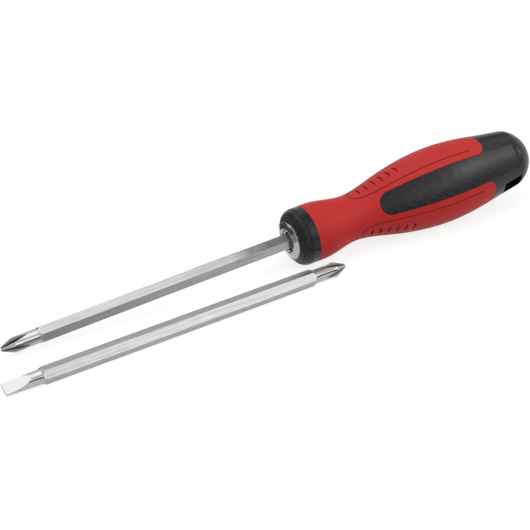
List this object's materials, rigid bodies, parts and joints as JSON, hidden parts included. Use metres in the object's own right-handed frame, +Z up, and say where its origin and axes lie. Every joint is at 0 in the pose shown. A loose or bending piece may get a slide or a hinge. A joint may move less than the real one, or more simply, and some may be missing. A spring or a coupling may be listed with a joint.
{
  "type": "screwdriver",
  "caption": "Straight screwdriver with a two-colour moulded handle, a chromed ferrule and a reversible hexagon blade, with a loose spare blade beside it.",
  "frame": {"origin": "middle of the box round both pieces, on the table they lie on", "axes": "+X from the cross tip towards the butt, +Y from the spare blade towards the screwdriver, +Z up"},
  "size_m": [0.2509, 0.0442, 0.032],
  "materials": {
    "handle_core": "black moulded polypropylene with a fine spark texture",
    "grip_sleeve": "red soft overmould, matt",
    "blade_socket": "bright chrome on turned steel",
    "spring_ring": "bright spring wire",
    "fitted_blade": "satin nickel plating over drawn hexagon bar",
    "spare_blade": "satin nickel plating over drawn hexagon bar"
  },
  "bodies": {
    "handle": {"handle_core": "handle_core", "grip_sleeve": "grip_sleeve", "blade_socket": "blade_socket", "spring_ring": "spring_ring"},
    "fitted_blade": {"fitted_blade": "fitted_blade"},
    "spare_blade": {"spare_blade": "spare_blade"}
  },
  "joints": [
    {"name": "blade_slide", "type": "slide", "parent": "handle", "child": "fitted_blade", "axis": [-0.9982, 0, -0.0597], "range_m": [0, 0.032]},
    {"name": "spare_lift", "type": "slide", "parent": "handle", "child": "spare_blade", "axis": [0, 0, 1], "range_m": [0, 0.05]}
  ]
}
